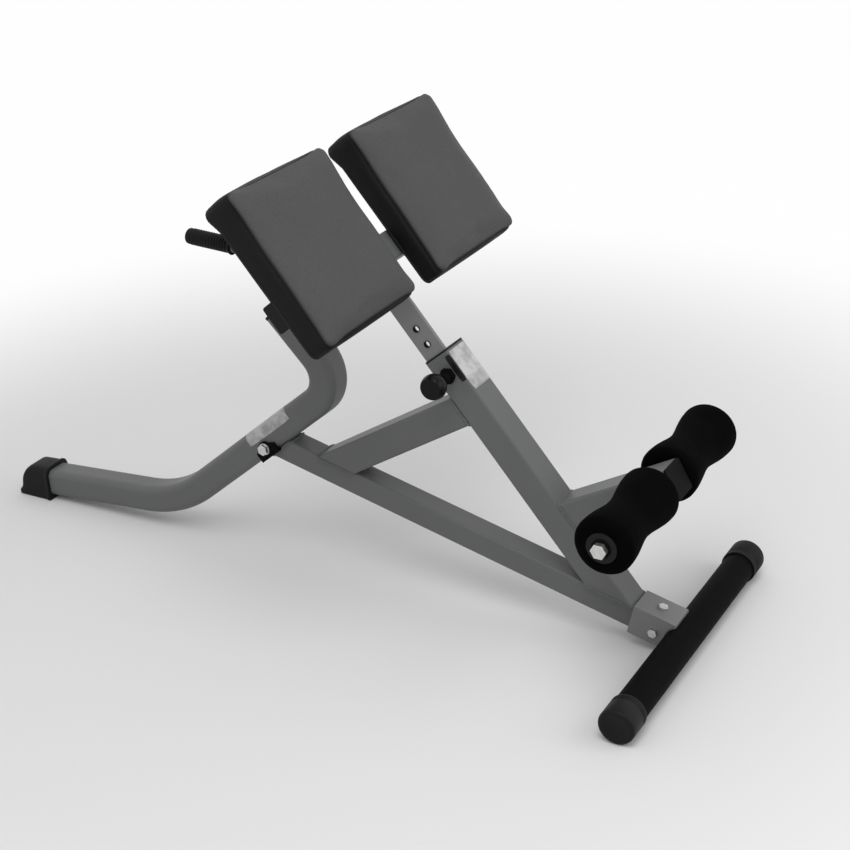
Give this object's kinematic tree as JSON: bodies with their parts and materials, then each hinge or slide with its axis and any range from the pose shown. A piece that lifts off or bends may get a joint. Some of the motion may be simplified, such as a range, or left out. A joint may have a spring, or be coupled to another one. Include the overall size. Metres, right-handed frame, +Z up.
{
  "type": "roman chair",
  "caption": "Roman chair bench with a sloping upright, split thigh pads on a height-adjusting post with a pull pin, foam ankle rollers, hand grips and a steel base.",
  "frame": {"origin": "on the floor at the middle of the bounding box", "axes": "+X from the front foot to the rear crossbar, +Y to the user's right as they face the rollers' far side, +Z up"},
  "size_m": [1.338, 0.553, 0.7309],
  "materials": {
    "frame_paint": "satin grey powder coat",
    "black_paint": "satin black powder coat",
    "bracket_paint": "light grey powder coat",
    "zinc": "zinc plated",
    "rubber": "matte",
    "black_plastic": "matte",
    "foam": "soft matte foam",
    "pad_cover": "satin synthetic leather",
    "plywood": "bare"
  },
  "bodies": {
    "base_frame": {"front_leg_tube": "frame_paint", "front_foot_cap": "rubber", "leg_top_cap": "black_plastic", "leg_bracket": "black_paint", "leg_bolt": "zinc", "leg_washers": "zinc", "leg_nut": "zinc", "base_tube": "frame_paint", "strut_tube": "frame_paint", "upright_tube": "frame_paint", "upright_bushing": "black_plastic", "rear_bracket": "bracket_paint", "rear_bolts": "zinc", "rear_nuts": "zinc", "rear_crossbar": "black_paint", "left_crossbar_cap": "rubber", "right_crossbar_cap": "rubber", "roller_arm": "frame_paint", "arm_end_cap": "black_plastic", "roller_axle": "zinc", "axle_washers": "zinc", "axle_nuts": "zinc", "pin_housing": "zinc", "pin_spring": "zinc"},
    "pad_carriage": {"pad_post": "frame_paint", "pad_cross_tube": "frame_paint", "left_cross_cap": "black_plastic", "right_cross_cap": "black_plastic", "left_pad_plate": "frame_paint", "right_pad_plate": "frame_paint", "left_pad_bolts": "zinc", "right_pad_bolts": "zinc", "left_pad_board": "plywood", "right_pad_board": "plywood", "left_pad": "pad_cover", "right_pad": "pad_cover", "left_handle": "frame_paint", "right_handle": "frame_paint", "left_grip": "rubber", "right_grip": "rubber"},
    "pull_pin": {"pin_plunger": "zinc", "pin_knob": "black_plastic"},
    "left_roller": {"left_roller_sleeve": "black_plastic", "left_foam_roller": "foam"},
    "right_roller": {"right_roller_sleeve": "black_plastic", "right_foam_roller": "foam"}
  },
  "joints": [
    {"name": "height_adjust", "type": "slide", "parent": "base_frame", "child": "pad_carriage", "axis": [-0.6225, 0, 0.7826], "range_m": [-0.084, 0.084]},
    {"name": "pin_pull", "type": "slide", "parent": "base_frame", "child": "pull_pin", "axis": [0, -1, 0], "range_m": [-0.009, 0], "stiffness_N_per_m": 600, "springref_m": -0.016},
    {"name": "left_roller_spin", "type": "hinge", "parent": "base_frame", "child": "left_roller", "pos_m": [0.59715, 0, 0.27302], "axis": [0, 1, 0], "continuous": true},
    {"name": "right_roller_spin", "type": "hinge", "parent": "base_frame", "child": "right_roller", "pos_m": [0.59715, 0, 0.27302], "axis": [0, 1, 0], "continuous": true}
  ]
}
